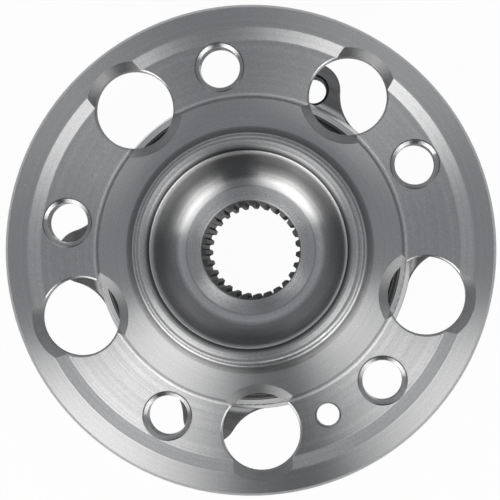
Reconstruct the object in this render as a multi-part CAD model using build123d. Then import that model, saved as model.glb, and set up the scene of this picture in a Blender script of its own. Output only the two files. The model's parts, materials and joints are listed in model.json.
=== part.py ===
"""Driven wheel hub bearing: flanged hub, split inner ring, two rows of balls, outer ring with ears, seals.

Millimetres. +Z is the hub axis, pointing out to the wheel. Z = 0 is the brake disc's seat on the wheel
flange, and the origin is on the axis there. +Y is the line of symmetry of the outer ring's four ears.
Each piece is one closed solid, written to parts/NODE.step.
"""
from build123d import *
import math
import os

# ---------------------------------------------------------------- wheel flange
flange_dia = 148.0
flange_thickness = 12.0       # through the pads behind the wheel bolt holes
web_thickness = 7.0           # between the pads
flange_front_chamfer = 0.8
flange_back_round = 1.2
relief_depth = 1.5            # turned relief between the two raised bands of the disc seat
relief_inner_dia = 94.6
relief_slope_width = 3.6
disc_seat_width = 6.8         # the outer raised band, from the top of the slope to the flange's edge

bolt_circle_dia = 112.0
bolt_count = 5
bolt_angle = 79.0             # first wheel bolt, from +X towards +Y, with the hub at rest
bolt_minor_dia = 12.38        # M14 x 1.5
bolt_sink = 0.58              # depth of the front countersink
shallow_slope = 30.0          # slope of the front countersinks, from the flange face
bolt_back_chamfer = 0.5
pad_half_width = 13.0         # forged pad behind each wheel bolt hole
pad_draft = 8.0
pad_round = 1.2
pad_overlap = 3.0             # how far a pad's root runs into the hub's boss
access_circle_dia = 110.0
access_hole_dia = 23.6        # lets a socket reach the fixings behind the flange
access_hole_lag = 30.0        # from each wheel bolt to its access hole
access_sink = 1.6             # depth below the disc seat
back_chamfer = 0.6
screw_circle_dia = 110.0
screw_lead = 20.15            # from the last wheel bolt back to the disc screw
screw_minor_dia = 7.1         # M8 x 1 disc retaining screw
screw_chamfer = 0.4

# ---------------------------------------------------------------- spigot and cup
pilot_dia = 66.5              # centres the wheel
pilot_top = 14.0
pilot_lead = 0.7
shoulder_dia = 70.0           # root shoulder, centres the brake disc
shoulder_top = 6.5
shoulder_chamfer = 0.5
root_round = 2.4
rim_face_inner_dia = 62.0
rim_bevel_dia = 59.2          # inner edge of the bevel inside the rim face
rim_bevel_depth = 0.5
cap_step_dia = 58.6           # foot of the short step for a dust cap
cap_step_depth = 1.2          # below the rim face
cup_lip_depth = 1.4
cup_mouth_dia = 57.8
cup_corner_dia = 56.0         # where the tapered wall would meet the bowl's rising floor
cup_rise = 1.3                # height of that corner over the nut seat
cup_round = 10.2
cup_floor_land = 0.2          # straight floor kept, at the least, between the flat and the bowl's round
nut_seat_dia = 39.0           # flat that the axle nut bears on
nut_seat_depth = 8.0          # below the disc seat

# ---------------------------------------------------------------- drive spline
spline_teeth = 27
spline_tip_dia = 27.5
spline_root_dia = 30.0
spline_end = 50.0             # depth of the spline's inboard end
spline_entry_dia = 30.7
groove_share = 0.64           # width of a groove at its mouth, as a share of the tooth pitch
groove_floor_share = 0.34
spline_runout = 2.0           # plain bore between the spline and the nose
nose_bore_dia = 32.4

# ---------------------------------------------------------------- rolling set
ball_dia = 12.7
ball_count = 14
pitch_dia = 66.0
contact_angle = 36.0
conformity = 0.53             # race groove radius over ball diameter
race_gap = 0.12               # running gap at the contact
row_outboard = -30.0          # axial places of the two ball rows
row_inboard = -48.3
near_land = 2.0               # from the pitch circle to the lands between a row and its seal side
far_land = 6.1                # from the pitch circle to the lands that the balls are put in over
pocket_gap = 0.25
cage_gap = 0.7                # between the cage and the inner lands
cage_wall = 3.9               # radial thickness
cage_edge = 0.4               # rounding of the cage's edges
cage_base = 1.3               # wall behind the pockets
cage_reach = 2.2              # how far the fingers pass the ball centres

# ---------------------------------------------------------------- hub shaft, inner ring, nose
boss_dia = 86.0               # boss on the flange back, the seal's running face
boss_height = 3.0             # beyond the pads
boss_root_round = 2.5
boss_edge = 0.5
neck_round = 2.5
seat_dia = 45.0               # inner ring's press seat
inner_ring_end = -61.0
inner_ring_chamfer = 0.8
nose_dia = 57.0               # rolled-over end that holds the inner ring
nose_height = 4.5
nose_round = 2.0
nose_bore_round = 1.5
edge_break = 0.4              # rounding of small turned corners

# ---------------------------------------------------------------- outer ring
outer_front = -17.5
outer_front_dia = 96.0
outer_front_chamfer = 0.5
body_dia = 100.0
body_cone_end = -32.5
body_cone_round = 3.0
body_end_round = 0.6
knuckle_face = -46.0          # seats against the knuckle
outer_end = -62.5
knuckle_pilot_dia = 88.0
pilot_chamfer = 1.0
ear_thickness = 12.5
ear_pitch_radius = 54.5
ear_round = 8.6
ear_flare = 15.0              # radius of the arcs that blend an ear into the body
upper_ear_half = 31.2         # angle between +Y and each ear of the upper pair
lower_ear_half = 36.7         # angle between -Y and each ear of the lower pair
ear_minor_dia = 8.5           # M10 x 1.5
ear_chamfer = 0.8
ear_edge = 0.6
ear_plate_start = 6.0         # how far inside the wall, from the outer land, the ears' plate starts

# ---------------------------------------------------------------- seals
seal_seat_dia = 83.0          # outboard seal seat in the outer ring
seal_seat_depth = 5.5
sheet = 0.7                   # pressed steel
sheet_bend = 0.3
sheet_edge = 0.2
rubber = 0.6
rubber_edge = 0.1
seal_depth = 3.6
seal_rim_dia = 92.4
seal_bore_dia = 67.6
rib_setback = 1.2             # rubber rib on the seal's rim
rib_width = 0.7
lip_gap = 0.15                # running gap between a lip and the face it wipes
lip_root = 0.8                # thickness of a face lip where it joins the case
lip_tip = 0.5
lip_root_round = 0.3
outer_lip_root = 2.2          # from the case's sleeve to the two face lips' roots and tips
outer_lip_tip = 0.9
inner_lip_root = 4.6
inner_lip_tip = 3.4
neck_lip_drop = 0.6
neck_lip_base = 0.2
rear_seal_height = 10.0       # from the inner ring to the seal's seat in the outer ring
rear_seat_depth = 6.5
rear_seal_setback = 0.5
rear_seal_depth = 4.0
rear_bore_step = 1.0          # how much wider the inboard case's bore is
rear_lip_root = 2.8
rear_lip_tip = 1.7
sleeve_lip_drop = 1.2
sleeve_lip_tip = 0.4
slinger_gap = 0.4
slinger_bend = 0.6
encoder_thickness = 1.0

# ---------------------------------------------------------------- worked out from the above
bolt_circle = bolt_circle_dia / 2
disc_seat_inner_dia = flange_dia - 2 * disc_seat_width
relief_outer_dia = disc_seat_inner_dia - 2 * relief_slope_width
flange_back = -flange_thickness
web_back = -web_thickness
boss_face = flange_back - boss_height
pitch_radius = pitch_dia / 2
inner_high_dia = pitch_dia - 2 * near_land
inner_low_dia = pitch_dia - 2 * far_land
outer_high_dia = pitch_dia + 2 * near_land
outer_low_dia = pitch_dia + 2 * far_land
cage_inner_dia = inner_high_dia + 2 * cage_gap
cage_outer_dia = cage_inner_dia + 2 * cage_wall
rear_seat_dia = inner_high_dia + 2 * rear_seal_height
ball_radius = ball_dia / 2
groove_radius = conformity * ball_dia
groove_shift = groove_radius - ball_radius - race_gap
inner_split = (row_outboard + row_inboard) / 2
nose_end = inner_ring_end - nose_height
ear_front = knuckle_face + ear_thickness
access_radius = access_hole_dia / 2
rear_bore = seal_bore_dia / 2 + rear_bore_step


def outline(*corners):
    """Flat face in the XZ plane from (radius, height, fillet) corners."""
    points = [(radius, height) for radius, height, _ in corners]
    fillets = [fillet_radius for _, _, fillet_radius in corners]
    edges = FilletPolyline(*points, radius=fillets, close=True).edges()
    return Plane.XZ * make_face(edges)


def turned(*corners):
    """Solid turned about Z from (radius, height, fillet) corners."""
    return revolve(outline(*corners), Axis.Z)


def race_groove(row, towards):
    """Torus that a race groove is ground from. towards is (radial, axial), from ball centre to contact."""
    angle = math.radians(contact_angle)
    radius = pitch_radius - towards[0] * math.cos(angle) * groove_shift
    height = row - towards[1] * math.sin(angle) * groove_shift
    section = Pos(radius, height) * Circle(groove_radius)
    return revolve(Plane.XZ * section, Axis.Z), height


def on_circle(diameter, angle):
    """Place on a circle round the hub axis, at the disc seat."""
    return Rot(0, 0, angle) * Pos(diameter / 2, 0, 0)


def drilled(radius, top, bottom, top_sink, bottom_sink, top_slope=45.0):
    """Cutter for a hole on the Z axis. The sinks are depths, and the back one is at 45 degrees."""
    over = 1.0
    spread = 1 / math.tan(math.radians(top_slope))
    return turned(
        (0, top + over, 0),
        (radius + (top_sink + over) * spread, top + over, 0),
        (radius, top - top_sink, 0),
        (radius, bottom + bottom_sink, 0),
        (radius + bottom_sink + over, bottom - over, 0),
        (0, bottom - over, 0),
    )


def spline_cutter():
    """Cutter for the splined bore: a round bore at the tooth tips and one trapezoid groove per gap."""
    tip = spline_tip_dia / 2
    root = spline_root_dia / 2
    pitch = 2 * math.pi / spline_teeth
    mouth = tip * pitch * groove_share / 2
    floor = root * pitch * groove_floor_share / 2
    overlap = 0.3
    widen = (mouth - floor) / (root - tip) * overlap
    corners = [
        (tip - overlap, -mouth - widen),
        (root, -floor),
        (root, floor),
        (tip - overlap, mouth + widen),
    ]
    groove = make_face(Polyline(*corners, close=True).edges())
    section = Circle(tip) + PolarLocations(0, spline_teeth) * groove
    over = 1.0
    length = spline_end - nut_seat_depth + 2 * over
    return Pos(0, 0, -spline_end - over) * extrude(section, length)


def bowl_round():
    """Radius of the bowl's round, limited by the length of the rising floor that it starts on."""
    floor_slope = math.atan2(cup_rise, (cup_corner_dia - nut_seat_dia) / 2)
    wall_height = pilot_top - cup_lip_depth + nut_seat_depth - cup_rise
    wall_slope = math.atan2(wall_height, (cup_mouth_dia - cup_corner_dia) / 2)
    floor = math.hypot(cup_rise, (cup_corner_dia - nut_seat_dia) / 2)
    limit = (floor - cup_floor_land) / math.tan((wall_slope - floor_slope) / 2)
    return min(cup_round, limit)


def hub_blank():
    """The hub as turned, before its holes: flange, spigot, cup, neck, seat and rolled nose."""
    groove, groove_height = race_groove(row_outboard, (-1, 1))
    pilot = pilot_dia / 2
    shoulder = shoulder_dia / 2
    rim = rim_face_inner_dia / 2
    flange = flange_dia / 2
    relief_inner = relief_inner_dia / 2
    seat = seat_dia / 2
    bore = spline_tip_dia / 2
    entry = spline_entry_dia / 2
    nose_bore = nose_bore_dia / 2
    neck = inner_high_dia / 2
    nose = nose_dia / 2
    blank = turned(
        (bore, -spline_end, 0),
        (bore, -nut_seat_depth - (entry - bore), 0),
        (entry, -nut_seat_depth, 0),
        (nut_seat_dia / 2, -nut_seat_depth, 0),
        (cup_corner_dia / 2, cup_rise - nut_seat_depth, bowl_round()),
        (cup_mouth_dia / 2, pilot_top - cup_lip_depth, 0),
        (cap_step_dia / 2, pilot_top - cap_step_depth, 0),
        (rim_bevel_dia / 2, pilot_top - rim_bevel_depth, 0),
        (rim, pilot_top, 0),
        (pilot - pilot_lead, pilot_top, 0),
        (pilot, pilot_top - pilot_lead, 0),
        (pilot, shoulder_top, edge_break),
        (shoulder - shoulder_chamfer, shoulder_top, 0),
        (shoulder, shoulder_top - shoulder_chamfer, 0),
        (shoulder, 0, root_round),
        (relief_inner - relief_depth, 0, 0),
        (relief_inner, -relief_depth, 0),
        (relief_outer_dia / 2, -relief_depth, 0),
        (disc_seat_inner_dia / 2, 0, 0),
        (flange - flange_front_chamfer, 0, 0),
        (flange, -flange_front_chamfer, 0),
        (flange, web_back, flange_back_round),
        (boss_dia / 2, web_back, boss_root_round),
        (boss_dia / 2, boss_face, boss_edge),
        (neck, boss_face, neck_round),
        (neck, groove_height, 0),
        (inner_low_dia / 2, groove_height, 0),
        (inner_low_dia / 2, inner_split, 0),
        (seat, inner_split, 0),
        (seat, inner_ring_end, 0),
        (nose, inner_ring_end, edge_break),
        (nose, nose_end, nose_round),
        (nose_bore + nose_height / 2, nose_end, nose_bore_round),
        (nose_bore, nose_end + nose_height, 0),
        (nose_bore, -spline_end - spline_runout, 0),
    )
    return blank - groove


def bolt_pad():
    """Forged pad behind the wheel bolt hole at angle 0: drafted, with a rounded end."""
    across = pad_half_width
    corners = [(0, -across), (bolt_circle, -across), (bolt_circle, across), (0, across)]
    arm = make_face(Polyline(*corners, close=True))
    section = arm + Pos(bolt_circle, 0) * Circle(pad_half_width)
    sunk = web_thickness / 2
    height = flange_thickness - sunk
    pad = extrude(Pos(0, 0, -sunk) * Plane.XY * section, -height, taper=pad_draft)
    back = pad.faces().sort_by(Axis.Z)[0]
    inside = Cylinder(boss_dia / 2 - pad_overlap, 4 * flange_thickness)
    return fillet(back.edges(), pad_round) - inside


def wheel_hub():
    """Flanged hub: pads, threaded wheel bolt holes, access holes, the disc screw hole and the drive spline."""
    pad = bolt_pad()
    bolt = drilled(bolt_minor_dia / 2, -relief_depth, flange_back, bolt_sink, bolt_back_chamfer, shallow_slope)
    access = drilled(access_radius, 0, web_back, access_sink, back_chamfer, shallow_slope)
    screw = drilled(screw_minor_dia / 2, -relief_depth, web_back, screw_chamfer, screw_chamfer)
    step = 360 / bolt_count
    hub = hub_blank()
    for number in range(bolt_count):
        hub += Rot(0, 0, bolt_angle + number * step) * pad
    hub -= spline_cutter()
    for number in range(bolt_count):
        angle = bolt_angle + number * step
        hub -= on_circle(bolt_circle_dia, angle) * bolt
        hub -= on_circle(access_circle_dia, angle + access_hole_lag) * access
    last_bolt = bolt_angle + (bolt_count - 1) * step
    hub -= on_circle(screw_circle_dia, last_bolt - screw_lead) * screw
    return hub


def inner_ring():
    """Separate inner ring of the inboard row, held on its seat by the rolled nose."""
    groove, groove_height = race_groove(row_inboard, (-1, -1))
    ring = turned(
        (seat_dia / 2, inner_split, 0),
        (inner_low_dia / 2, inner_split, edge_break),
        (inner_low_dia / 2, groove_height, 0),
        (inner_high_dia / 2, groove_height, 0),
        (inner_high_dia / 2, inner_ring_end, inner_ring_chamfer),
        (seat_dia / 2, inner_ring_end, 0),
    )
    return ring - groove


def ear_angles():
    """Angles of the four ears, from +X."""
    return [90 - upper_ear_half, 90 + upper_ear_half, 270 - lower_ear_half, 270 + lower_ear_half]


def ear_outline():
    """Plate outline of the ears: round lugs, each blended into the round body by two tangent arcs."""
    body = body_dia / 2
    reach = body + ear_flare
    lug_reach = ear_round + ear_flare
    half = math.acos((reach**2 + ear_pitch_radius**2 - lug_reach**2) / (2 * reach * ear_pitch_radius))
    across = reach * math.sin(half)
    along = reach * math.cos(half)
    kite = make_face(Polyline((0, 0), (along, -across), (ear_pitch_radius, 0), (along, across), close=True))
    web = kite - Pos(along, -across) * Circle(ear_flare) - Pos(along, across) * Circle(ear_flare)
    lug = web + Pos(ear_pitch_radius, 0) * Circle(ear_round)
    plate = Circle(body)
    for angle in ear_angles():
        plate += Rot(0, 0, angle) * lug
    return plate


def outer_ring():
    """Stationary ring: both outer races, seal seats, the knuckle pilot and four threaded ears."""
    groove_1, height_1 = race_groove(row_outboard, (1, -1))
    groove_2, height_2 = race_groove(row_inboard, (1, 1))
    low = outer_low_dia / 2
    high = outer_high_dia / 2
    body = turned(
        (seal_seat_dia / 2, outer_front, 0),
        (outer_front_dia / 2, outer_front, outer_front_chamfer),
        (body_dia / 2, body_cone_end, body_cone_round),
        (body_dia / 2, knuckle_face, body_end_round),
        (knuckle_pilot_dia / 2, knuckle_face, 0),
        (knuckle_pilot_dia / 2, outer_end + pilot_chamfer, 0),
        (knuckle_pilot_dia / 2 - pilot_chamfer, outer_end, 0),
        (rear_seat_dia / 2, outer_end, 0),
        (rear_seat_dia / 2, outer_end + rear_seat_depth, 0),
        (low, outer_end + rear_seat_depth, 0),
        (low, height_2, 0),
        (high, height_2, 0),
        (high, height_1, 0),
        (low, height_1, 0),
        (low, outer_front - seal_seat_depth, 0),
        (seal_seat_dia / 2, outer_front - seal_seat_depth, 0),
    )
    plate = Pos(0, 0, knuckle_face) * extrude(ear_outline() - Circle(high + ear_plate_start), ear_thickness)
    plate = chamfer(plate.faces().sort_by(Axis.Z)[-1].outer_wire().edges(), ear_edge)
    ring = body + plate - groove_1 - groove_2
    bolt = drilled(ear_minor_dia / 2, ear_front, knuckle_face, ear_chamfer, ear_chamfer)
    for angle in ear_angles():
        ring -= Rot(0, 0, angle) * Pos(ear_pitch_radius, 0, 0) * bolt
    return ring


def ball(row, number):
    """One ball of a row."""
    angle = number * 360 / ball_count
    return Rot(0, 0, angle) * Pos(pitch_radius, 0, row) * Sphere(ball_radius)


def cage(row, side):
    """Moulded crown cage: a ring on the side given, with a finger between every two balls."""
    pocket = ball_radius + pocket_gap
    back = row + side * (pocket + cage_base)
    tips = row - side * cage_reach
    ring = turned(
        (cage_inner_dia / 2, back, cage_edge),
        (cage_outer_dia / 2, back, cage_edge),
        (cage_outer_dia / 2, tips, cage_edge),
        (cage_inner_dia / 2, tips, cage_edge),
    )
    pockets = PolarLocations(pitch_radius, ball_count) * Sphere(pocket)
    return ring - [Pos(0, 0, row) * place for place in pockets]


def outboard_seal_case():
    """Pressed steel case: a sleeve in the outer ring's seat, a rim over its end face and a disc inside."""
    seat = seal_seat_dia / 2
    disc = outer_front - seal_depth
    return turned(
        (seat, outer_front, 0),
        (seal_rim_dia / 2, outer_front, 0),
        (seal_rim_dia / 2, outer_front + sheet, sheet_edge),
        (seat - sheet, outer_front + sheet, sheet_bend),
        (seat - sheet, disc + sheet, 0),
        (seal_bore_dia / 2, disc + sheet, 0),
        (seal_bore_dia / 2, disc, 0),
        (seat, disc, sheet_bend),
    )


def outboard_seal_lips():
    """Rubber on the outboard case: two lips to the flange boss, one to the neck, a rib outside."""
    inner = seal_seat_dia / 2 - sheet
    disc = outer_front - seal_depth + sheet
    floor = disc + rubber
    rim = outer_front + sheet
    rim_outer = seal_rim_dia / 2
    rib = rim_outer - rib_setback
    neck = inner_high_dia / 2 + lip_gap
    face = boss_face - lip_gap
    bore = seal_bore_dia / 2
    return turned(
        (bore, disc, 0),
        (inner, disc, 0),
        (inner, rim, 0),
        (rim_outer, rim, 0),
        (rim_outer, rim + rubber, rubber_edge),
        (rib, rim + rubber, 0),
        (rib, rim + 2 * rubber, rubber_edge),
        (rib - rib_width, rim + 2 * rubber, rubber_edge),
        (rib - rib_width, rim + rubber, 0),
        (inner - rubber, rim + rubber, 0),
        (inner - rubber, floor, lip_root_round),
        (inner - outer_lip_root, floor, lip_root_round),
        (inner - outer_lip_tip, face, 0),
        (inner - outer_lip_tip - lip_tip, face, 0),
        (inner - outer_lip_root - lip_root, floor, lip_root_round),
        (inner - inner_lip_root, floor, lip_root_round),
        (inner - inner_lip_tip, face, 0),
        (inner - inner_lip_tip - lip_tip, face, 0),
        (inner - inner_lip_root - lip_root, floor, lip_root_round),
        (bore - rubber, floor, lip_root_round),
        (neck, disc - neck_lip_drop, 0),
        (neck, disc - neck_lip_drop - lip_tip, 0),
        (bore - rubber, disc - sheet, neck_lip_base),
        (bore, disc - sheet, 0),
    )


def inboard_seal_case():
    """Pressed steel case of the inboard cassette seal."""
    seat = rear_seat_dia / 2
    back = outer_end + rear_seal_setback
    disc = back + rear_seal_depth
    return turned(
        (seat, back, 0),
        (seat, disc, sheet_bend),
        (rear_bore, disc, 0),
        (rear_bore, disc - sheet, 0),
        (seat - sheet, disc - sheet, 0),
        (seat - sheet, back, 0),
    )


def slinger_face():
    """Height of the slinger flange's bearing side."""
    return inner_ring_end + sheet


def inboard_seal_lips():
    """Rubber on the inboard case: one lip to the slinger flange and one to its sleeve."""
    disc = outer_end + rear_seal_setback + rear_seal_depth - sheet
    inner = rear_seat_dia / 2 - sheet
    face = slinger_face() + lip_gap
    sleeve = inner_high_dia / 2 + sheet + lip_gap
    return turned(
        (inner, disc, 0),
        (rear_bore, disc, 0),
        (rear_bore, disc + sheet, 0),
        (rear_bore - rubber, disc + sheet, rubber_edge),
        (rear_bore - rubber, disc - rubber / 2, 0),
        (sleeve, disc - sleeve_lip_drop, 0),
        (sleeve, disc - sleeve_lip_drop - sleeve_lip_tip, 0),
        (rear_bore, disc - rubber, lip_root_round),
        (inner - rear_lip_root - lip_root, disc - rubber, lip_root_round),
        (inner - rear_lip_tip - lip_tip, face, 0),
        (inner - rear_lip_tip, face, 0),
        (inner - rear_lip_root, disc - rubber, lip_root_round),
        (inner, disc - rubber, 0),
    )


def inboard_slinger():
    """Pressed steel slinger: a sleeve on the inner ring and a flange that turns inside the case."""
    land = inner_high_dia / 2
    flange = rear_seat_dia / 2 - sheet - slinger_gap
    depth = rear_seal_depth - rear_seal_setback
    return turned(
        (land, inner_ring_end + inner_ring_chamfer, 0),
        (land, inner_ring_end + depth, 0),
        (land + sheet, inner_ring_end + depth, 0),
        (land + sheet, slinger_face(), sheet_edge),
        (flange, slinger_face(), 0),
        (flange, inner_ring_end, 0),
        (land, inner_ring_end, slinger_bend),
    )


def encoder_ring():
    """Magnetised rubber ring on the slinger, read by the wheel speed sensor."""
    outer = rear_seat_dia / 2 - sheet - slinger_gap
    inner = inner_high_dia / 2 + 2 * sheet
    return turned(
        (inner, inner_ring_end, 0),
        (outer, inner_ring_end, 0),
        (outer, inner_ring_end - encoder_thickness, rubber_edge * 2),
        (inner, inner_ring_end - encoder_thickness, rubber_edge * 2),
    )


def pieces():
    """Every piece by node name."""
    made = {
        "outer_ring": outer_ring(),
        "wheel_hub": wheel_hub(),
        "inner_ring": inner_ring(),
        "cage_outboard": cage(row_outboard, 1),
        "cage_inboard": cage(row_inboard, -1),
        "outboard_seal_case": outboard_seal_case(),
        "outboard_seal_lips": outboard_seal_lips(),
        "inboard_seal_case": inboard_seal_case(),
        "inboard_seal_lips": inboard_seal_lips(),
        "inboard_slinger": inboard_slinger(),
        "encoder_ring": encoder_ring(),
    }
    for name, row in (("ball_outboard", row_outboard), ("ball_inboard", row_inboard)):
        for number in range(ball_count):
            made[f"{name}_{number + 1:02d}"] = ball(row, number)
    return made


os.makedirs("parts", exist_ok=True)
for node, solid in pieces().items():
    export_step(solid, f"parts/{node}.step")
    print(node, round(solid.volume, 1))
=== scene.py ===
# %% [markdown]
# # A wheel hub bearing
# The real part is a turned steel hub. Its flange carries the wheel and the brake disc. It turns on two rows
# of balls inside a forged outer ring, whose four ears are bolted to the car's steering knuckle.
# The shapes of all the solid pieces are already there in the frame. This script cuts nothing: it gives each
# piece its finish, and adds the threads.

import json
import math

import bpy
import numpy as np
from mathutils import Matrix, Vector


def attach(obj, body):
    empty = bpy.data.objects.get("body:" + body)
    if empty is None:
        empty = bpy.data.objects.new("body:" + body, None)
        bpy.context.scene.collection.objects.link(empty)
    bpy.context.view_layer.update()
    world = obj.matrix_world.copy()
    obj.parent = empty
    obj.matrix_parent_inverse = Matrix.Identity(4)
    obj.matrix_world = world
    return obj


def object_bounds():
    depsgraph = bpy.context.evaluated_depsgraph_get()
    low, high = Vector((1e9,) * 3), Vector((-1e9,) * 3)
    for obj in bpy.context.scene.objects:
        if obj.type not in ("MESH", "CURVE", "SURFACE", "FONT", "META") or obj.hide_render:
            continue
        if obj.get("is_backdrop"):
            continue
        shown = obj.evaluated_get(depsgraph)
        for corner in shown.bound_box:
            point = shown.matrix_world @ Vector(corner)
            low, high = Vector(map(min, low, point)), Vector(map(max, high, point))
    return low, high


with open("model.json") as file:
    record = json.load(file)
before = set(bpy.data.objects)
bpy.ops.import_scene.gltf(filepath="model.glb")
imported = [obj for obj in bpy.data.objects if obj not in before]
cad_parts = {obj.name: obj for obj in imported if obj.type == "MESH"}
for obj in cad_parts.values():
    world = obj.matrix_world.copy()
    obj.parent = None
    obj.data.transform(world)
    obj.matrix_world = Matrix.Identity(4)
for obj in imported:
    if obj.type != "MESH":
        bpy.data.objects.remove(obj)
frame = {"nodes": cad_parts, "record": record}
nodes = frame["nodes"]
cad_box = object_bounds()
MM = 0.001
print("pieces in the frame:", len(nodes))
print("box in mm:", [[round(c / MM, 1) for c in corner] for corner in cad_box])

# %% [markdown]
# ## Camera
# A product picture of a hub is taken from the wheel's side, from over the middle of the flange.
# The camera here stands 0.6 m off, about 23 mm beside the axis, so that one wall of each hole shows.
# Its place is worked out as three directions at right angles: where it looks, its right and its up.
# Put side by side as columns, they are its rotation.

# %% Camera
eye = Vector((17.7, 14.5, 598.5)) * MM
looks_at = Vector((0.0, 0.0, -1.5)) * MM
up_angle = math.radians(141.5)
rough_up = Vector((math.cos(up_angle), math.sin(up_angle), 0.0))
nearest_seen = 0.01

forward = (looks_at - eye).normalized()
right = forward.cross(rough_up).normalized()
up = right.cross(forward)
turn = Matrix((right, up, -forward)).transposed()

camera = bpy.data.objects.new("Camera", bpy.data.cameras.new("Camera"))
camera.matrix_world = Matrix.Translation(eye) @ turn.to_4x4()
camera.data.sensor_width = 36.0
camera.data.lens = 143.3
camera.data.clip_start = nearest_seen
bpy.context.collection.objects.link(camera)
bpy.context.scene.camera = camera
bpy.context.scene.view_settings.view_transform = "Standard"
print("camera to flange, m:", round((looks_at - eye).length, 3))

# %% [markdown]
# ## Studio light
# Bare metal has no colour of its own to speak of: what is seen on it is the room. Two big soft boxes hang
# side by side with a dark gap between them, and everything else is dim. A turned face spreads each box into
# a bright fan, and the dim room gives the greys between the fans. The boxes' edges run parallel to the gap,
# so the gap looks wider the steeper a face mirrors it. The lamps are out of the camera's sight.

# %% Two soft boxes
# Azimuths and tilts are in degrees, and lengths in metres.
softbox_distance = 1.3
softbox_colour = (1.0, 0.985, 0.955)
gap_azimuth = 328.5
softboxes = {
    "softbox_left": {"azimuth": gap_azimuth - 46.5, "tilt": 39.5, "width": 0.70, "length": 0.76,
                     "radiance": 2.95},
    "softbox_right": {"azimuth": gap_azimuth + 40.5, "tilt": 39.0, "width": 0.60, "length": 0.74,
                      "radiance": 2.65},
}


def softbox(name, azimuth, tilt, width, length, radiance):
    """A rectangular lamp at an azimuth round the axis and a tilt from straight above, facing the hub, with
    its length along the gap. Its power is radiance times pi times its area, so its face is that bright."""
    lamp = bpy.data.lights.new(name, "AREA")
    lamp.shape = "RECTANGLE"
    lamp.size, lamp.size_y = width, length
    lamp.energy = radiance * math.pi * width * length
    lamp.color = softbox_colour
    a, t, g = math.radians(azimuth), math.radians(tilt), math.radians(gap_azimuth)
    back = Vector((math.cos(a) * math.sin(t), math.sin(a) * math.sin(t), math.cos(t)))
    gap = Vector((math.cos(g), math.sin(g), 0.0))
    along = (gap - back * gap.dot(back)).normalized()
    sideways = along.cross(back)
    turned = Matrix((sideways, along, back)).transposed()
    stand = bpy.data.objects.new(name, lamp)
    stand.matrix_world = Matrix.Translation(back * softbox_distance) @ turned.to_4x4()
    stand.visible_camera = False
    bpy.context.collection.objects.link(stand)
    return stand


for name, values in softboxes.items():
    stand = softbox(name, **values)
    print(name, "power W:", round(stand.data.energy, 2))

# %% [markdown]
# ## Node helpers
# Materials are graphs of nodes. A few short helpers keep the graphs readable: one adds any node, and the rest
# do arithmetic on numbers and on vectors. Each input gets either a plain value or another node's output.

# %% Node helpers
def add(tree, kind, feeds=None, **settings):
    """Adds one node. feeds gives each input a number, a colour or another node's output."""
    node = tree.nodes.new(kind)
    for name, value in settings.items():
        setattr(node, name, value)
    for socket, source in (feeds or {}).items():
        if isinstance(source, bpy.types.NodeSocket):
            tree.links.new(source, node.inputs[socket])
        else:
            node.inputs[socket].default_value = source
    return node


def number(tree, operation, *values):
    """Arithmetic on numbers, such as number(tree, "ADD", a, 1.0). Returns the result's socket."""
    return add(tree, "ShaderNodeMath", dict(enumerate(values)), operation=operation).outputs[0]


def centred(tree, value):
    """value - 0.5, which turns a noise from 0 to 1 into one round 0."""
    return number(tree, "SUBTRACT", value, 0.5)


def vector(tree, operation, *values):
    """Arithmetic on vectors. Lengths and dot products come out as numbers."""
    node = add(tree, "ShaderNodeVectorMath", dict(enumerate(values)), operation=operation)
    return node.outputs["Value" if operation in ("DOT_PRODUCT", "LENGTH") else "Vector"]


def scaled(tree, source, scale):
    """A vector times a number."""
    return add(tree, "ShaderNodeVectorMath", {0: source, "Scale": scale}, operation="SCALE").outputs[0]


def level_vector(tree, x, y):
    """The vector (x, y, 0)."""
    return add(tree, "ShaderNodeCombineXYZ", {"X": x, "Y": y, "Z": 0.0}).outputs[0]


print("helpers: add, number, centred, vector, scaled, level_vector")

# %% [markdown]
# ## Room and floor
# The room is dim, and darker towards the horizon than overhead. Polished steel shows this at once: the steep
# wall of the cup mirrors the low part of the room and looks nearly black. A black flag stands between
# the two soft boxes, so that the gap between their reflections is crisp. The camera's own rays see white.
# In a world's graph the Generated coordinate is the direction that a ray leaves in.

# %% Room
white = (1.0, 1.0, 1.0, 1.0)
room_tint = (0.975, 1.0, 1.035)
room_levels = [(0.0, 0.05), (0.35, 0.09), (0.60, 0.20), (0.78, 0.36), (0.92, 0.36), (1.0, 0.33)]
flag_inner, flag_outer = 8.0, 17.0  # degrees from the gap where the flag is dark, and where it ends
flag_level = 0.15


def ramp(tree, factor, stops):
    """A colour ramp with a list of (place, red, green, blue) stops. Returns its colour socket."""
    node = add(tree, "ShaderNodeValToRGB", {"Fac": factor})
    while len(node.color_ramp.elements) < len(stops):
        node.color_ramp.elements.new(0.5)
    for element, (place, red, green, blue) in zip(node.color_ramp.elements, stops):
        element.position = place
        element.color = (red, green, blue, 1.0)
    return node.outputs["Color"]


def smooth_step(tree, value, start, end, low=0.0, high=1.0):
    """low where value is below start, high above end, and a smooth rise or fall between them."""
    return add(tree, "ShaderNodeMapRange", {"Value": value, "From Min": start, "From Max": end,
                                            "To Min": low, "To Max": high},
               interpolation_type="SMOOTHSTEP").outputs[0]


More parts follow.
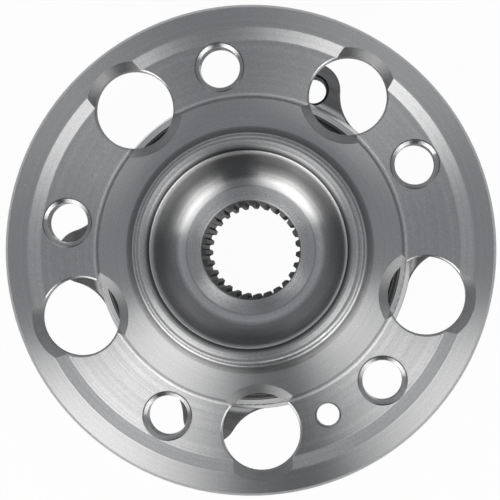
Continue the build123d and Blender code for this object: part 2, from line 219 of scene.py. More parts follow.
def build_room():
    """Room light by height, the cosine of the tilt from straight up, times the flag's shade."""
    world = bpy.data.worlds.new("Studio")
    world.use_nodes = True
    tree = world.node_tree
    tree.nodes.clear()
    direction = add(tree, "ShaderNodeTexCoord").outputs["Generated"]
    parts = add(tree, "ShaderNodeSeparateXYZ", {0: direction}).outputs
    grey = ramp(tree, parts["Z"], [(place, level, level, level) for place, level in room_levels])
    level = vector(tree, "MULTIPLY", grey, room_tint)
    sideways = vector(tree, "NORMALIZE", level_vector(tree, parts["X"], parts["Y"]))
    a = math.radians(gap_azimuth)
    towards_flag = vector(tree, "DOT_PRODUCT", sideways, (math.cos(a), math.sin(a), 0.0))
    flag = smooth_step(tree, towards_flag, math.cos(math.radians(flag_outer)),
                       math.cos(math.radians(flag_inner)), 1.0, flag_level)
    light_path = add(tree, "ShaderNodeLightPath").outputs
    dim = add(tree, "ShaderNodeBackground", {"Color": level, "Strength": flag}).outputs[0]
    bright = add(tree, "ShaderNodeBackground", {"Color": white, "Strength": 1.0}).outputs[0]
    seen = add(tree, "ShaderNodeMixShader", {0: light_path["Is Camera Ray"], 1: dim, 2: bright})
    add(tree, "ShaderNodeOutputWorld", {"Surface": seen.outputs[0]})
    return world


bpy.context.scene.world = build_room()
print("room overhead:", room_levels[-1][1], "at the horizon:", room_levels[0][1])

# %% [markdown]
# The floor is white card. Light Path tells the floor's material what kind of ray has hit it: the camera,
# a reflection and a see-through ray find a card that glows at exactly white, with a little of
# the plain card mixed in for the shadow, and all other rays find only the plain card.

# %% Floor
floor_half = 3.0
floor_z = cad_box[0].z
card_grey = (0.9, 0.9, 0.9, 1.0)
card_glow = 0.97


def build_card():
    """Plain card for most rays, and card_glow of a white glow for the rays that are seen."""
    card = bpy.data.materials.new("white_card")
    card.use_nodes = True
    tree = card.node_tree
    tree.nodes.clear()
    light_path = add(tree, "ShaderNodeLightPath").outputs
    mirror_or_glass = number(tree, "MAXIMUM", light_path["Is Glossy Ray"], light_path["Is Transmission Ray"])
    clean_rays = number(tree, "MAXIMUM", mirror_or_glass, light_path["Is Camera Ray"])
    glow_share = number(tree, "MULTIPLY", clean_rays, card_glow)
    plain = add(tree, "ShaderNodeBsdfDiffuse", {"Color": card_grey}).outputs[0]
    glow = add(tree, "ShaderNodeEmission", {"Color": white, "Strength": 1.0}).outputs[0]
    mixed = add(tree, "ShaderNodeMixShader", {0: glow_share, 1: plain, 2: glow})
    add(tree, "ShaderNodeOutputMaterial", {"Surface": mixed.outputs[0]})
    return card


corners = np.array([[-1, -1, 0], [1, -1, 0], [1, 1, 0], [-1, 1, 0]]) * floor_half + [0, 0, floor_z]
floor_mesh = bpy.data.meshes.new("floor")
floor_mesh.from_pydata(corners.tolist(), [], [(0, 1, 2, 3)])
floor_mesh.materials.append(build_card())
floor = bpy.data.objects.new("floor", floor_mesh)
bpy.context.collection.objects.link(floor)
floor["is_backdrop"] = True
print("floor at z, mm:", round(floor_z / MM, 2))

# %% [markdown]
# ## The mark that turning leaves
# A lathe tool leaves a very fine spiral groove. Light is scattered across the groove, not along it, so
# a highlight on a turned face is drawn out along the radius. Two things make this here:
# * the Principled shader's anisotropy, with its tangent pointing across the groove, and
# * a normal that leans back and forth across the groove from one ring to the next.
# Both need the direction across the groove. It is the circumferential direction crossed with the normal:
# on a flat face it points outwards along the radius, and on a cylinder it points along the axis.
#
# A known fault: the point is in the piece's own space and the normal is in the world's, so all this is
# true only while a piece is not turned. On a hub turned by 90 degrees the fans run the wrong way, and its
# upright walls lose the direction and come out in patches. The mend would take the piece's own normal
# too, and turn the results into the world's space for the shader.

# %% Directions on a turned surface
def across_grooves(tree, point, normal):
    """The direction across marks turned round the Z axis: (-y, x, 0) crossed with the normal, at length 1.
    It is right while the piece is not turned, because the normal is the world's and the point is not."""
    parts = add(tree, "ShaderNodeSeparateXYZ", {0: point}).outputs
    around = level_vector(tree, number(tree, "MULTIPLY", parts["Y"], -1.0), parts["X"])
    return vector(tree, "NORMALIZE", vector(tree, "CROSS_PRODUCT", around, normal))


def radius_and_height(tree, point):
    """The distance from the Z axis and the height, both in mm, as two sockets."""
    parts = add(tree, "ShaderNodeSeparateXYZ", {0: point}).outputs
    flat = level_vector(tree, parts["X"], parts["Y"])
    radius = number(tree, "DIVIDE", vector(tree, "LENGTH", flat), MM)
    return radius, number(tree, "DIVIDE", parts["Z"], MM)


print("directions: across_grooves, radius_and_height")

# %% [markdown]
# ## The turning marks as a group
# Every turned piece has the marks, so they are a node group. It gives a normal that leans back and forth
# across the grooves, a slow tone that changes from band to band, and the fine grooves themselves.

# %% Turning marks as a node group
slow_rings_per_mm = 0.55
slow_height_scale = 0.15  # the slow tone changes less along the axis than along a radius


def new_group(name, inputs, outputs):
    """An empty shader node group with the sockets given. Returns it, its inputs and its output node."""
    group = bpy.data.node_groups.new(name, "ShaderNodeTree")
    for socket, kind, value in inputs:
        made = group.interface.new_socket(socket, in_out="INPUT", socket_type=kind)
        made.default_value = value
    for socket, kind in outputs:
        group.interface.new_socket(socket, in_out="OUTPUT", socket_type=kind)
    return group, add(group, "NodeGroupInput").outputs, add(group, "NodeGroupOutput")


def build_turning_marks():
    """Rings that follow radius and height. A two-dimensional noise is read at (radius, height), so it is
    the same all the way round, and it changes from ring to ring on flats, cones and cylinders alike.
    Normal = normal + across * (lean + depth * fine noise). Tone is a slower noise from 0 to 1."""
    group, given, result = new_group(
        "Turning marks",
        [("Point", "NodeSocketVector", (0.0, 0.0, 0.0)), ("Rings per mm", "NodeSocketFloat", 3.0),
         ("Depth", "NodeSocketFloat", 0.1), ("Lean", "NodeSocketFloat", 0.0)],
        [("Normal", "NodeSocketVector"), ("Tone", "NodeSocketFloat"), ("Fine", "NodeSocketFloat")])
    normal = add(group, "ShaderNodeNewGeometry").outputs["Normal"]
    radius, height = radius_and_height(group, given["Point"])
    ring = level_vector(group, radius, height)
    slow_ring = level_vector(group, radius, number(group, "MULTIPLY", height, slow_height_scale))
    fine = add(group, "ShaderNodeTexNoise", {"Vector": ring, "Scale": given["Rings per mm"], "Detail": 2.0,
                                             "Roughness": 0.6}, noise_dimensions="2D").outputs["Fac"]
    slow = add(group, "ShaderNodeTexNoise", {"Vector": slow_ring, "Scale": slow_rings_per_mm, "Detail": 3.0,
                                             "Roughness": 0.65}, noise_dimensions="2D").outputs["Fac"]
    leaning = number(group, "MULTIPLY_ADD", centred(group, fine),
                     number(group, "MULTIPLY", given["Depth"], 2.0), given["Lean"])
    shift = scaled(group, across_grooves(group, given["Point"], normal), leaning)
    tilted = vector(group, "NORMALIZE", vector(group, "ADD", normal, shift))
    for socket, source in (("Normal", tilted), ("Tone", slow), ("Fine", fine)):
        group.links.new(source, result.inputs[socket])
    return group


turning_marks = build_turning_marks()
print("group:", turning_marks.name, len(turning_marks.nodes), "nodes")

# %% [markdown]
# ## Small wear as a group
# Handling leaves small marks on bright metal. A fine noise, cut off near its top, gives sparse specks.
# A second one, stretched along one direction, gives short hairline scratches. A third, left soft, gives the
# mottle that oil and fingers leave on bare steel.

# %% Small wear as a node group
speck_edge = (0.66, 0.74)
scratch_edge = (0.70, 0.76)
scratch_turn = (0.0, 0.0, 0.6)
scratch_squeeze = (0.12, 3.2, 0.3)
mottle_per_mm = 2.4


def build_wear():
    """Specks = smooth step over speck_edge of a fine noise. Scratches = the same over scratch_edge of a noise
    that is read at a point squeezed along one tilted line, so that its cells are long and thin.
    Mottle = a noise from 0 to 1 as it is."""
    group, given, result = new_group(
        "Specks and scratches", [("Specks per mm", "NodeSocketFloat", 1.6)],
        [("Specks", "NodeSocketFloat"), ("Scratches", "NodeSocketFloat"), ("Mottle", "NodeSocketFloat")])
    mm = scaled(group, add(group, "ShaderNodeTexCoord").outputs["Object"], 1.0 / MM)
    speck = add(group, "ShaderNodeTexNoise", {"Vector": mm, "Scale": given["Specks per mm"], "Detail": 1.0})
    along = add(group, "ShaderNodeMapping", {"Vector": mm, "Rotation": scratch_turn,
                                             "Scale": scratch_squeeze})
    line = add(group, "ShaderNodeTexNoise", {"Vector": along.outputs[0], "Scale": 1.0, "Detail": 1.0})
    mottle = add(group, "ShaderNodeTexNoise", {"Vector": mm, "Scale": mottle_per_mm, "Detail": 2.0,
                                               "Roughness": 0.6})
    group.links.new(smooth_step(group, speck.outputs["Fac"], *speck_edge), result.inputs["Specks"])
    group.links.new(smooth_step(group, line.outputs["Fac"], *scratch_edge), result.inputs["Scratches"])
    group.links.new(mottle.outputs["Fac"], result.inputs["Mottle"])
    return group


wear = build_wear()
print("group:", wear.name, len(wear.nodes), "nodes")

# %% [markdown]
# ## Bands of the turned hub
# Each band of the hub was cut by another pass of the tool, so each has its own gloss. One table lists them
# from the axis outwards: radius in mm, roughness, tone of the steel, and how far the grooves' crests lean.
# On a few thin bands the tone is painted light: bright edges and lines have a painted highlight, and a
# crease, a step and the root round have painted shade.
# A positive lean tips the normal outwards. The colour ramp carries the three values as red, green and blue.
# A ramp holds no more than 32 stops, so a second one carries the fine dark and light lines round the rim:
# it gives a factor on the tone, which is 1 everywhere inside and outside of those lines.

# %% Bands of the hub
hub_bands = [
    (15.20, 0.50, 0.20, 0.00),  # spline
    # painted highlight: the edge round the spline has its tone raised to 1
    (15.36, 0.30, 1.00, -0.30), (15.50, 0.30, 1.00, -0.30),  # bright edge round the spline
    (15.62, 0.28, 0.62, 0.06), (19.40, 0.28, 0.60, 0.06),  # seat of the axle nut
    # painted shade: the tool's runout, a crease, is painted darker
    (19.65, 0.34, 0.40, 0.00),  # tool's runout
    (20.00, 0.30, 0.62, 0.04), (21.60, 0.31, 0.74, 0.04),  # foot of the bowl
    (23.00, 0.28, 0.40, 0.07), (28.45, 0.30, 0.44, 0.07),  # wall of the bowl
    # painted highlight: the lip has its tone raised to 1
    (28.70, 0.42, 1.00, 0.07), (29.20, 0.42, 1.00, 0.07),  # lip
    # painted shade: the step under the cap is painted nearly black
    (29.34, 0.40, 0.12, 0.07), (29.90, 0.38, 0.14, 0.12),  # step under the cap
    (30.40, 0.38, 0.42, 0.20),  # bevel inside the rim
    (31.05, 0.36, 0.57, 0.07), (34.40, 0.26, 0.88, 0.00),  # rim face, the wheel's pilot and the shoulder
    (34.58, 0.36, 0.84, -0.40), (35.00, 0.36, 0.84, -0.40),  # bevel of the shoulder
    # painted shade: the root round is painted darker
    (35.20, 0.40, 0.46, 0.07), (37.10, 0.40, 0.36, 0.07),  # root round
    (37.35, 0.32, 0.58, 0.07), (45.40, 0.32, 0.57, 0.07),  # inner seat band
    (45.60, 0.36, 0.52, 0.02), (46.45, 0.36, 0.70, 0.02),  # inner slope
    # painted highlight: the line at the slope's foot has its tone raised to 1
    (46.80, 0.46, 1.00, -0.42), (47.25, 0.46, 1.00, -0.42),  # bright line at its foot
    (47.45, 0.30, 0.57, 0.07), (63.30, 0.30, 0.57, 0.07),  # relief
    (63.70, 0.42, 0.76, 0.03), (67.10, 0.42, 0.76, 0.03),  # outer slope
    (67.40, 0.30, 0.57, 0.07),  # outer seat band
]
rim_lines = [  # radius in mm, and factor on the tone
    (31.05, 1.00), (31.70, 0.92), (32.00, 1.12), (32.30, 1.05), (32.60, 0.46), (33.00, 0.46), (33.40, 1.20),
    (33.90, 1.20), (34.08, 0.48), (34.38, 0.48), (34.52, 1.00), (34.58, 1.00),
]
band_reach = 80.0  # radius in mm at the ramps' right end
lean_room = 0.5  # a ramp holds nothing below 0, so leans are moved up by this
line_room = 2.0  # and nothing above 1, so factors are halved and doubled again


def band_values(tree, radius):
    """Roughness, tone and lean at a radius, from hub_bands and rim_lines."""
    reach = number(tree, "DIVIDE", radius, band_reach)
    bands = ramp(tree, reach, [(place / band_reach, gloss, tone, lean + lean_room)
                               for place, gloss, tone, lean in hub_bands])
    lines = ramp(tree, reach, [(place / band_reach,) + (factor / line_room,) * 3
                               for place, factor in rim_lines])
    gloss, tone, raised_lean = add(tree, "ShaderNodeSeparateColor", {0: bands}).outputs
    half_factor = add(tree, "ShaderNodeSeparateColor", {0: lines}).outputs[0]
    lined = number(tree, "MULTIPLY", tone, number(tree, "MULTIPLY", half_factor, line_room))
    return gloss, number(tree, "MINIMUM", lined, 1.0), number(tree, "SUBTRACT", raised_lean, lean_room)


print("stops:", len(hub_bands), "in the bands,", len(rim_lines), "in the rim's lines")

# %% [markdown]
# ## Marks round the holes
# A drill or a countersink spins round its own axis, not the hub's, so a hole's wall and its sunk edge need
# marks round each hole. The five holes of a circle are handled together: the angle round the hub is rounded
# to the nearest hole's angle, which gives that hole's centre, and the point is then measured from there.
# A countersink's normal leans 30 degrees and a wall's lies flat, which tells both from the faces around them.
# Round each hole the sharp edge has been broken by hand. A ring on the face round the edge gets a tone of its
# own:
# on a wheel bolt hole a dark tone, which makes a dark hairline, and on an access hole, where the break leans
# further, a raised tone, a painted highlight, with the lean making it light towards the light and dark away
# from it. The hairline is edge_width wide, outwards from the edge radius.

# %% Points measured from the nearest hole
hole_circles = {  # radius of the circle, angle of a hole in degrees, and radii of what its masks take in
    "wheel bolt": {"circle": 56.0, "first": 79.0, "reach": 7.4, "edge": 7.18},
    "access": {"circle": 55.0, "first": 109.0, "reach": 14.8, "edge": 11.95},
}
hole_step = 72.0
edge_width = 0.38
sink_normal, sink_tolerance = math.cos(math.radians(30.0)), 0.03
wall_normal, wall_tolerance = 0.0, 0.10
least_level_normal = 0.98


def both(tree, a, b):
    """1 where both masks are 1."""
    return number(tree, "MULTIPLY", a, b)


def from_nearest_hole(tree, point, circle, first, reach, edge):
    """The point with the nearest hole's centre taken away, a mask that is 1 within reach of that centre, and
    one that is 1 from the hole's edge to edge_width outside it. The hole's angle is
    first + step * round((angle - first) / step)."""
    parts = add(tree, "ShaderNodeSeparateXYZ", {0: point}).outputs
    angle = number(tree, "ARCTAN2", parts["Y"], parts["X"])
    step = math.radians(hole_step)
    turns = number(tree, "DIVIDE", number(tree, "SUBTRACT", angle, math.radians(first)), step)
    hole_angle = number(tree, "MULTIPLY_ADD", number(tree, "ROUND", turns), step, math.radians(first))
    centre = level_vector(tree, number(tree, "MULTIPLY", number(tree, "COSINE", hole_angle), circle * MM),
                          number(tree, "MULTIPLY", number(tree, "SINE", hole_angle), circle * MM))
    moved = vector(tree, "SUBTRACT", point, centre)
    distance, _ = radius_and_height(tree, moved)
    hairline = both(tree, number(tree, "GREATER_THAN", distance, edge),
                    number(tree, "LESS_THAN", distance, edge + edge_width))
    return moved, number(tree, "LESS_THAN", distance, reach), hairline


def seen_by_the_tool(tree, point, normal):
    """The point as the cutting tool saw it, from the hub's axis or from a hole's own axis, and a mask for
    the drilled faces of each circle of holes and one for the broken edges of its holes."""
    upward = add(tree, "ShaderNodeSeparateXYZ", {0: normal}).outputs["Z"]
    sunk = number(tree, "COMPARE", upward, sink_normal, sink_tolerance)
    wall = number(tree, "COMPARE", upward, wall_normal, wall_tolerance)
    drilled = number(tree, "MAXIMUM", sunk, wall)
    level = number(tree, "GREATER_THAN", upward, least_level_normal)
    seen, masks = point, {}
    for name, hole in hole_circles.items():
        moved, near, hairline = from_nearest_hole(tree, point, **hole)
        masks[name] = both(tree, near, drilled)
        masks[name + " edge"] = both(tree, hairline, level)
        own = number(tree, "MAXIMUM", masks[name], masks[name + " edge"])
        seen = add(tree, "ShaderNodeMix", {"Factor": own, "A": seen, "B": moved},
                   data_type="VECTOR").outputs[1]
    return seen, masks


print("hole circles:", list(hole_circles))

# %% [markdown]
# ## What every material needs
# A mask decides between two values, and a blend node does that. Every material starts from the same point
# and normal and ends in one Principled shader. Steel's own colour is a grey with a trace more blue than red.

# %% Material helpers
blue_and_red = 2.01  # the factors on red and blue add up to this


def blend(tree, mask, a, b):
    """a where mask is 0 and b where it is 1."""
    return add(tree, "ShaderNodeMix", {"Factor": mask, "A": a, "B": b}, data_type="FLOAT").outputs[0]


def new_material(name):
    """A material with an empty graph. Returns it, its tree, and the tree's point and normal."""
    material = bpy.data.materials.new(name)
    material.use_nodes = True
    tree = material.node_tree
    tree.nodes.clear()
    point = add(tree, "ShaderNodeTexCoord").outputs["Object"]
    return material, tree, point, add(tree, "ShaderNodeNewGeometry").outputs["Normal"]


def finish_tree(tree, feeds):
    """Ends a graph with the Principled shader and the output."""
    shader = add(tree, "ShaderNodeBsdfPrincipled", feeds)
    add(tree, "ShaderNodeOutputMaterial", {"Surface": shader.outputs[0]})


def metal_colour(tree, tone, warmth=1.0):
    """Steel of the tone given: a trace more blue than red."""
    return add(tree, "ShaderNodeCombineColor", {0: number(tree, "MULTIPLY", tone, warmth), 1: tone,
                                                2: number(tree, "MULTIPLY", tone, blue_and_red - warmth)
                                                }).outputs[0]


print("helpers: blend, new_material, finish_tree, metal_colour")

# %% [markdown]
# ## Turned steel of the hub
# The bands hold for the faces that were turned. Other places get their own roughness, tone and lean through
# a mask: the back of the flange, the holes and their edges. The tone then gets small changes on top, from
# ring to ring and from the wear. The blur across the grooves is the Principled shader's anisotropy, with its
# tangent across them.

# %% Hub steel
back_height = -8.7  # below this, outside of the spline, the hub is finished plainly
spline_reach = 15.2
inner_side_reach = 46.0  # the wall of an access hole that faces outwards lies inside this radius
hub_spots = {  # roughness, tone and lean; None keeps what was there
    "back": (0.34, 0.50, 0.0),
    "access": (0.46, 0.42, None),
    "access inner side": (None, 0.46, 0.30),
    "wheel bolt": (0.28, 0.66, None),
    "wheel bolt edge": (None, 0.22, None),
    # the access edge's raised tone is a painted highlight
    "access edge": (None, 0.70, -0.45),
}
drift_shade, grain_shade, mottle_shade, speck_shade, scratch_shade = 0.22, 0.24, 0.50, 0.20, 0.14
drift_gloss, speck_gloss = 0.06, 0.10


def build_turned_hub():
    """Bright lathe-turned steel. Its tone is scaled by 1 + the sum of each noise times its shade."""
    material, tree, point, normal = new_material("turned_hub_steel")
    radius, height = radius_and_height(tree, point)
    seen, masks = seen_by_the_tool(tree, point, normal)
    masks["back"] = both(tree, number(tree, "LESS_THAN", height, back_height),
                         number(tree, "GREATER_THAN", radius, spline_reach))
    masks["access inner side"] = both(tree, masks["access"],
                                      number(tree, "LESS_THAN", radius, inner_side_reach))
    values = band_values(tree, radius)
    for name, spot in hub_spots.items():
        values = [old if new is None else blend(tree, masks[name], old, new)
                  for old, new in zip(values, spot)]
    gloss, tone, lean = values
    marks = add(tree, "ShaderNodeGroup", {"Point": seen, "Lean": lean, "Rings per mm": 3.0, "Depth": 0.07},
                node_tree=turning_marks).outputs
    worn = add(tree, "ShaderNodeGroup", node_tree=wear).outputs
    drift = centred(tree, marks["Tone"])
    shade = 1.0
    for source, strength in ((drift, drift_shade), (centred(tree, marks["Fine"]), grain_shade),
                             (centred(tree, worn["Mottle"]), mottle_shade), (worn["Specks"], speck_shade),
                             (worn["Scratches"], scratch_shade)):
        shade = number(tree, "MULTIPLY_ADD", source, strength, shade)
    roughness = number(tree, "MULTIPLY_ADD", drift, drift_gloss, gloss)
    roughness = number(tree, "MULTIPLY_ADD", worn["Specks"], speck_gloss, roughness)
    finish_tree(tree, {
        "Base Color": metal_colour(tree, number(tree, "MULTIPLY", tone, shade), 0.995), "Metallic": 1.0,
        "Roughness": roughness, "Anisotropic": 0.95, "Tangent": across_grooves(tree, seen, normal),
        "Normal": marks["Normal"]})
    return material


finishes = {"turned_hub": build_turned_hub()}
print("finish:", finishes["turned_hub"].name, "with", len(hub_spots), "places of its own")

# %% [markdown]
# ## Forged and turned steel of the outer ring
# The outer ring is forged with its four ears and then turned only where something seats: the races, the
# pilot, the knuckle face, the front end and the ears' front faces. The rest keeps the grey, pebbled skin of
# the forging. The mask is built from the radius and from how far each face looks up or down. The turned
# faces have painted light in their tone: the ears have a painted highlight near the ring and painted shade
# further out, and the front end has painted shade at its bore and is painted brighter outwards.

# %% Outer ring steel
least_turned_normal = 0.9
bore_reach, front_height, ear_reach = 44.3, -31.0, 49.0
plain_turned_tone = 0.42
# the ears' painted light: a painted highlight near the ring, painted shade further out
ear_painted_light = (50.6, 52.0, 1.0, 0.28)  # radius in mm from and to, tone from and to
# the front end's painted light: painted shade at its bore, painted brighter outwards
front_painted_light = (45.0, 46.6, 0.20, 0.90)
skin_per_mm = 0.9
skin_tone, skin_gloss, turned_gloss = 0.20, 0.50, 0.34
skin_shade, turned_shade = 0.35, 0.25


def build_forged_ring():
    """Turned where the radius is small or the face looks straight up or down, forged skin elsewhere."""
    material, tree, point, normal = new_material("forged_ring_steel")
    radius, height = radius_and_height(tree, point)
    upward = number(tree, "ABSOLUTE", add(tree, "ShaderNodeSeparateXYZ", {0: normal}).outputs["Z"])
    level = number(tree, "GREATER_THAN", upward, least_turned_normal)
    inside = number(tree, "LESS_THAN", radius, bore_reach)
    front = number(tree, "GREATER_THAN", height, front_height)
    turned = number(tree, "MAXIMUM", number(tree, "MAXIMUM", level, inside), front)
    marks = add(tree, "ShaderNodeGroup", {"Point": point, "Rings per mm": 2.2, "Depth": 0.10},
                node_tree=turning_marks).outputs
    skin = add(tree, "ShaderNodeTexNoise", {"Vector": scaled(tree, point, 1.0 / MM), "Scale": skin_per_mm,
                                            "Detail": 5.0, "Roughness": 0.62}).outputs["Fac"]
    pebble = add(tree, "ShaderNodeBump", {"Height": skin, "Strength": 0.55, "Distance": 0.35 * MM}).outputs[0]
    on_ears = both(tree, level, number(tree, "GREATER_THAN", radius, ear_reach))
    # painted highlight and shade on the turned faces of the ears and the front end
    mean_tone_and_painted_light = blend(tree, on_ears, plain_turned_tone, smooth_step(tree, radius, *ear_painted_light))
    mean_tone_and_painted_light = blend(tree, both(tree, level, front), mean_tone_and_painted_light, smooth_step(tree, radius, *front_painted_light))
    turned_tone_and_painted_light = number(tree, "MULTIPLY_ADD", centred(tree, marks["Tone"]), turned_shade, mean_tone_and_painted_light)
    own_skin_tone = number(tree, "MULTIPLY_ADD", centred(tree, skin), skin_shade, skin_tone)
    mixed = add(tree, "ShaderNodeMix", {"Factor": turned, "A": pebble, "B": marks["Normal"]},
                data_type="VECTOR").outputs[1]
    finish_tree(tree, {
        "Base Color": metal_colour(tree, blend(tree, turned, own_skin_tone, turned_tone_and_painted_light)),
        "Metallic": 1.0, "Roughness": blend(tree, turned, skin_gloss, turned_gloss), "Normal": mixed})
    return material


finishes["forged_ring"] = build_forged_ring()
print("finish:", finishes["forged_ring"].name)

# %% [markdown]
# ## Ground and pressed steel
# The inner ring is hardened, ground and honed, so its marks are finer and shallower than a lathe's. The sheet
# steel of the seals is pressed from rolled strip and is duller.

# %% Ground and pressed steel
tone_drift, tone_specks, gloss_drift = 0.20, -0.15, 0.30  # as shares of the mean


def build_marked_steel(name, tone, gloss, rings, depth, aniso):
    """Steel with marks round the axis. tone and gloss are its means, and both drift from ring to ring."""
    material, tree, point, normal = new_material(name)
    marks = add(tree, "ShaderNodeGroup", {"Point": point, "Rings per mm": rings, "Depth": depth},
                node_tree=turning_marks).outputs
    worn = add(tree, "ShaderNodeGroup", node_tree=wear).outputs
    drift = centred(tree, marks["Tone"])
    shade = number(tree, "MULTIPLY_ADD", drift, tone_drift * tone, tone)
    shade = number(tree, "MULTIPLY_ADD", worn["Specks"], tone_specks * tone, shade)
    finish_tree(tree, {
        "Base Color": metal_colour(tree, shade), "Metallic": 1.0,
        "Roughness": number(tree, "MULTIPLY_ADD", drift, gloss_drift * gloss, gloss),
        "Anisotropic": aniso, "Tangent": across_grooves(tree, point, normal), "Normal": marks["Normal"]})
    return material


finishes["ground_ring"] = build_marked_steel("ground_ring_steel", tone=0.60, gloss=0.20, rings=6.0,
                                             depth=0.03, aniso=0.8)
finishes["seal_steel"] = build_marked_steel("seal_steel", tone=0.48, gloss=0.34, rings=3.0,
                                            depth=0.06, aniso=0.5)
print("finishes:", [finishes[s].name for s in ("ground_ring", "seal_steel")])

# %% [markdown]
# ## Balls
# The balls are lapped between plates until no direction is left in them, so they get a mirror's gloss with
# only a faint cloudiness and a few faint specks. They need no anisotropy.

# %% Ball steel
ball_tone, ball_specks = 0.68, -0.06
ball_gloss, ball_cloud, clouds_per_metre = 0.04, 0.05, 260.0


def build_ball():
    """Lapped steel: a mirror whose roughness is ball_gloss + ball_cloud * noise."""
    material, tree, point, _ = new_material("bearing_ball_steel")
    worn = add(tree, "ShaderNodeGroup", node_tree=wear).outputs
    cloud = add(tree, "ShaderNodeTexNoise", {"Vector": point, "Scale": clouds_per_metre, "Detail": 2.0})
    shade = number(tree, "MULTIPLY_ADD", worn["Specks"], ball_specks, ball_tone)
    finish_tree(tree, {
        "Base Color": metal_colour(tree, shade), "Metallic": 1.0,
        "Roughness": number(tree, "MULTIPLY_ADD", cloud.outputs["Fac"], ball_cloud, ball_gloss)})
    return material


finishes["bearing_ball"] = build_ball()
print("finish:", finishes["bearing_ball"].name)

# %% [markdown]
# ## Polyamide and rubber
# The cages are moulded from glass-filled polyamide, whose fibres leave a fine mottled skin. The seal lips are
# nitrile rubber, dusty and dark, with thin light rings painted on as highlights that ribs would catch.
# The encoder is rubber full of magnetic powder, harder and smoother, with a faint grey bloom and faint
# painted highlight rings.

# %% Moulded materials
# the painted highlight rings: their pitch in mm of radius, their edge, and how much they wobble
ring_pitch = 1.1
ring_edge = (0.70, 0.95)
ring_wobble = 0.8
gloss_grain = 0.2
skin_height = 0.15 * MM


def build_moulded(name, colour, gloss, grain, bump, rings):
    """A dark moulded material. Its colour is scaled by 1 + 2 * grain * (noise - 0.5), and by rings more on
    thin light rings, painted highlights, that repeat every ring_pitch mm of radius. Its skin is bumpy."""
    material, tree, point, _ = new_material(name)
    marks = add(tree, "ShaderNodeGroup", {"Point": point, "Rings per mm": 1.6},
                node_tree=turning_marks).outputs
    noise = add(tree, "ShaderNodeTexNoise", {"Vector": scaled(tree, point, 1.0 / MM), "Scale": 4.0,
                                             "Detail": 4.0, "Roughness": 0.7}).outputs["Fac"]
    radius, _ = radius_and_height(tree, point)
    wobbly = number(tree, "MULTIPLY_ADD", marks["Fine"], ring_wobble, radius)
    place = number(tree, "FRACT", number(tree, "DIVIDE", wobbly, ring_pitch))
    # the thin light rings are painted highlights
    light = smooth_step(tree, place, *ring_edge)
    scale = number(tree, "MULTIPLY_ADD", centred(tree, noise), 2.0 * grain, 1.0)
    scale = number(tree, "MULTIPLY_ADD", light, rings, scale)
    skin = add(tree, "ShaderNodeBump", {"Height": noise, "Strength": bump,
                                        "Distance": skin_height}).outputs[0]
    finish_tree(tree, {
        "Base Color": scaled(tree, colour, scale), "Normal": skin,
        "Roughness": number(tree, "MULTIPLY_ADD", centred(tree, noise), gloss_grain, gloss)})
    return material


# rings: the strength of the painted highlight rings
moulded = {
    "cage_polymer": {"colour": (0.080, 0.080, 0.085), "gloss": 0.48, "grain": 0.25, "bump": 0.25,
                     "rings": 0.0},
    "seal_rubber": {"colour": (0.045, 0.044, 0.043), "gloss": 0.50, "grain": 0.60, "bump": 0.60,
                    "rings": 5.0},
    "encoder_rubber": {"colour": (0.090, 0.070, 0.060), "gloss": 0.42, "grain": 0.20, "bump": 0.20,
                       "rings": 0.5},
}
for name, values in moulded.items():
    finishes[name] = build_moulded(name, **values)
print("finishes:", [finishes[name].name for name in moulded])

# %% [markdown]
# ## Dressing the pieces
# The frame says for every piece which material slot it has. Each piece gets the finish of its slot, so the
# 28 balls share one material.

# %% Dress every piece in its finish
slot_of = {part["node"]: part["material_slot"] for part in frame["record"]["subparts"]}
for name, piece in nodes.items():
    piece.data.materials.clear()
    piece.data.materials.append(finishes[slot_of[name]])
print("dressed:", len(slot_of))

# %% [markdown]
# ## Threads
# The wheel bolts, the disc's screw and the knuckle bolts all turn into threads. The solids stop at each
# thread's crest circle, so the ridges are added here. A ridge is a small triangle carried round a helix:
# at turn t its middle lies at the height bottom + pitch * (t + 0.5), and the triangle fades out at both ends,
# as a tap's lead does. Its root is sunk a little into the wall, and it stands proud of the wall.

# %% Thread ridges
thread_proud = 0.16
thread_sunk = 0.05
ridge_half = 0.42  # half of the ridge's width at its root, as a share of the pitch
fade_turns = 0.5
least_fade = 0.05
steps_per_turn = 36


def thread_ridge(name, centre, radius, pitch, bottom, top):
    """Closed helical ridge in a hole round centre. Its rows are triangles: two corners sunk in the wall,
    2 * ridge_half of a pitch apart, and a crest that stands thread_proud inside it."""
    turns = (top - bottom) / pitch - 1.0
    count = int(turns * steps_per_turn) + 1
    t = np.linspace(0.0, turns, count)
    fade = np.clip(np.minimum(t, turns - t) / fade_turns, least_fade, 1.0)
    angle = 2.0 * np.pi * t
    root = np.full(count, radius + thread_sunk)
    reach = np.stack([root, radius - thread_proud * fade, root], axis=1)
    rise = np.stack([-ridge_half * pitch * fade, np.zeros(count), ridge_half * pitch * fade], axis=1)
    points = np.empty((count, 3, 3))
    points[..., 0] = centre[0] + reach * np.cos(angle)[:, None]
    points[..., 1] = centre[1] + reach * np.sin(angle)[:, None]
    points[..., 2] = (bottom + pitch * (t + 0.5))[:, None] + rise
    row = 3 * np.arange(count - 1)[:, None]
    side, after = np.array([0, 1, 2]), np.array([1, 2, 0])
    quads = np.stack([row + side, row + 3 + side, row + 3 + after, row + after], axis=-1).reshape(-1, 4)
    last = 3 * count - 1
    caps = [(0, 1, 2), (last, last - 1, last - 2)]
    mesh = bpy.data.meshes.new(name)
    mesh.from_pydata((points.reshape(-1, 3) * MM).tolist(), [], caps + quads.tolist())
    mesh.validate()
    return mesh


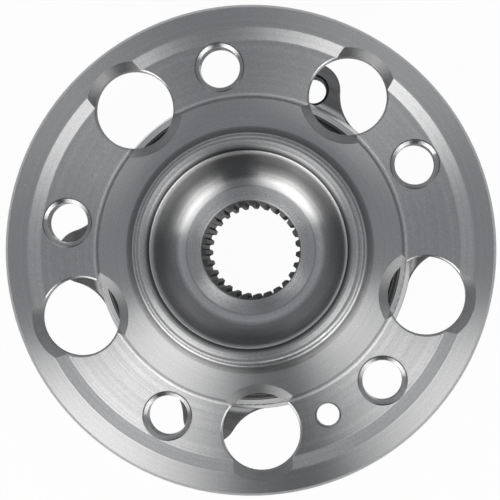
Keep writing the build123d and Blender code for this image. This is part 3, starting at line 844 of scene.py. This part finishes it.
def signed_volume(mesh):
    """Volume inside a closed mesh, above 0 where its faces look outwards."""
    mesh.calc_loop_triangles()
    corners = np.array([v.co for v in mesh.vertices])
    triangles = np.array([t.vertices for t in mesh.loop_triangles])
    a, b, c = corners[triangles[:, 0]], corners[triangles[:, 1]], corners[triangles[:, 2]]
    return float(np.einsum("ij,ij->i", a, np.cross(b, c)).sum() / 6.0)


print("thread ridge stands proud by, mm:", thread_proud)

# %% [markdown]
# Each thread is a piece of its own. It rides on the body that its hole belongs to, so it turns with the hub
# or stays with the outer ring, and it takes the finish of the steel that it is cut in. A ridge that came out
# inside out, which its signed volume tells, is turned the right way round.

# %% Threads in their holes
bolt_circle, bolt_first = (hole_circles["wheel bolt"][key] for key in ("circle", "first"))
bolt_angles = [bolt_first + hole_step * i for i in range(5)]
threads = {  # body, finish, circle and angles of the holes, then the bore's radius, pitch, bottom and top
    "wheel_bolt_thread": ("hub", "turned_hub", bolt_circle, bolt_angles, (6.19, 1.5, -11.5, -2.1)),
    "disc_screw_thread": ("hub", "turned_hub", 55.0, [346.85], (3.55, 1.0, -6.6, -1.9)),
    "ear_thread": ("outer_ring", "forged_ring", 54.5, [58.8, 121.2, 233.3, 306.7],
                   (4.25, 1.5, -45.2, -34.3)),
}


def add_thread(name, body, material, centre, shape):
    """One ridge as a piece that rides on a body and takes a slot's finish. Returns its count of faces."""
    mesh = thread_ridge(name, centre, *shape)
    if signed_volume(mesh) < 0.0:
        mesh.flip_normals()
    mesh.materials.append(finishes[material])
    piece = bpy.data.objects.new(name, mesh)
    bpy.context.collection.objects.link(piece)
    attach(piece, body)
    return len(mesh.polygons)


for name, (body, material, circle, angles, shape) in threads.items():
    faces = 0
    for i, degrees in enumerate(angles):
        a = math.radians(degrees)
        own_name = f"{name}_{i + 1}" if len(angles) > 1 else name
        faces += add_thread(own_name, body, material, (circle * math.cos(a), circle * math.sin(a)), shape)
    print(name, "pieces:", len(angles), "faces:", faces)

# %% [markdown]
# ## Sizes
# The last cell measures the dressed part against the solids' own box. The two have to agree, because a finish
# must not make a part bigger.

# %% Sizes, then the last line
shown_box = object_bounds()
grown = (shown_box[1] - shown_box[0]) - (cad_box[1] - cad_box[0])
print("grown by, mm:", [round(side / MM, 3) for side in grown])
